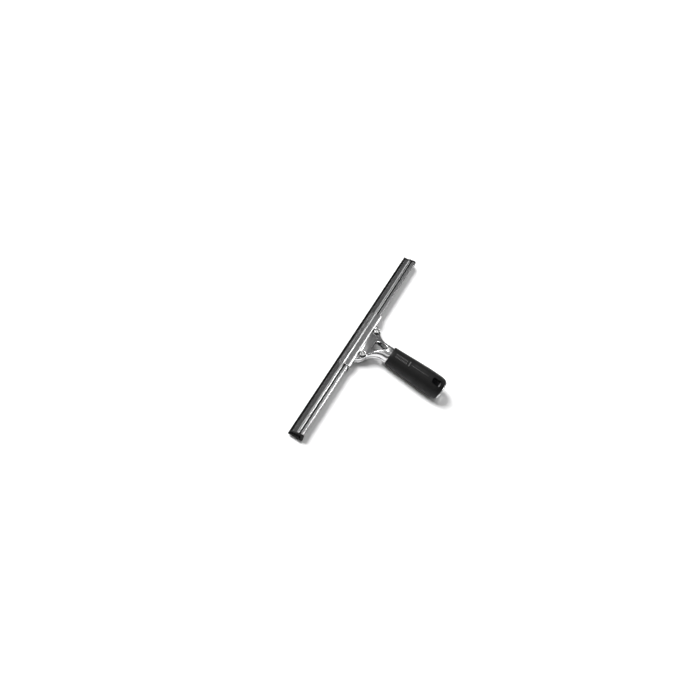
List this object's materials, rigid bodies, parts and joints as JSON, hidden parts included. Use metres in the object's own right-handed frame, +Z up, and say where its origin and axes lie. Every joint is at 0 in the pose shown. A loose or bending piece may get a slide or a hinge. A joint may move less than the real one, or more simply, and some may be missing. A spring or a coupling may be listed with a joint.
{
  "type": "window squeegee",
  "caption": "Hand squeegee: rubber blade in a rolled steel channel, clamped between two screwed jaws on a hollow handle with a rubber grip and pole socket.",
  "frame": {"origin": "middle of the underside's bounding rectangle, on the surface that the tool lies on", "axes": "+X along the blade, +Y from the handle towards the rubber's edge, +Z up out of the front face"},
  "size_m": [0.35, 0.1352, 0.0318],
  "materials": {
    "steel_channel": "polished, rolled along its length",
    "steel_jaw": "polished stamping",
    "steel_fastener": "turned",
    "blade_rubber": "smooth",
    "grip_rubber": "fine moulded texture",
    "black_plastic": "moulded"
  },
  "bodies": {
    "handle": {"rear_jaw": "steel_jaw", "clamp_nut_left": "steel_fastener", "clamp_nut_right": "steel_fastener", "handle_core": "black_plastic", "handle_tube": "steel_jaw", "pole_socket": "black_plastic", "rubber_grip": "grip_rubber", "grip_end_ring": "steel_jaw", "core_rivets": "steel_fastener"},
    "front_jaw": {"front_jaw": "steel_jaw", "screw_washer_left": "steel_fastener", "screw_washer_right": "steel_fastener"},
    "left_screw": {"clamp_screw_left": "steel_fastener"},
    "right_screw": {"clamp_screw_right": "steel_fastener"},
    "channel": {"blade_channel": "steel_channel"},
    "rubber": {"rubber_blade": "blade_rubber"},
    "left_cap": {"end_cap_left": "black_plastic"},
    "right_cap": {"end_cap_right": "black_plastic"}
  },
  "joints": [
    {"name": "jaw_open", "type": "slide", "parent": "handle", "child": "front_jaw", "axis": [0, 0.1805, 0.9836], "range_m": [0, 0.0016]},
    {"name": "left_screw_turn", "type": "hinge", "parent": "front_jaw", "child": "left_screw", "pos_m": [-0.0222, 0.04328, 0.00887], "axis": [0, 0.1805, 0.9836], "range_deg": [0, 720.1]},
    {"name": "right_screw_turn", "type": "hinge", "parent": "front_jaw", "child": "right_screw", "pos_m": [0.0222, 0.04328, 0.00887], "axis": [0, 0.1805, 0.9836], "range_deg": [0, 720.1]},
    {"name": "channel_slide", "type": "slide", "parent": "handle", "child": "channel", "axis": [1, 0, 0], "range_m": [-0.12, 0.12]},
    {"name": "rubber_slide", "type": "slide", "parent": "channel", "child": "rubber", "axis": [1, 0, 0], "range_m": [0, 0.345]},
    {"name": "right_cap_pull", "type": "slide", "parent": "channel", "child": "right_cap", "axis": [1, 0, 0], "range_m": [0, 0.012]},
    {"name": "left_cap_pull", "type": "slide", "parent": "channel", "child": "left_cap", "axis": [-1, 0, 0], "range_m": [0, 0.012]}
  ],
  "couplings": [
    {"joint": "left_screw_turn", "follows": "jaw_open", "rad_per_m": 7854},
    {"joint": "right_screw_turn", "follows": "jaw_open", "rad_per_m": 7854}
  ]
}
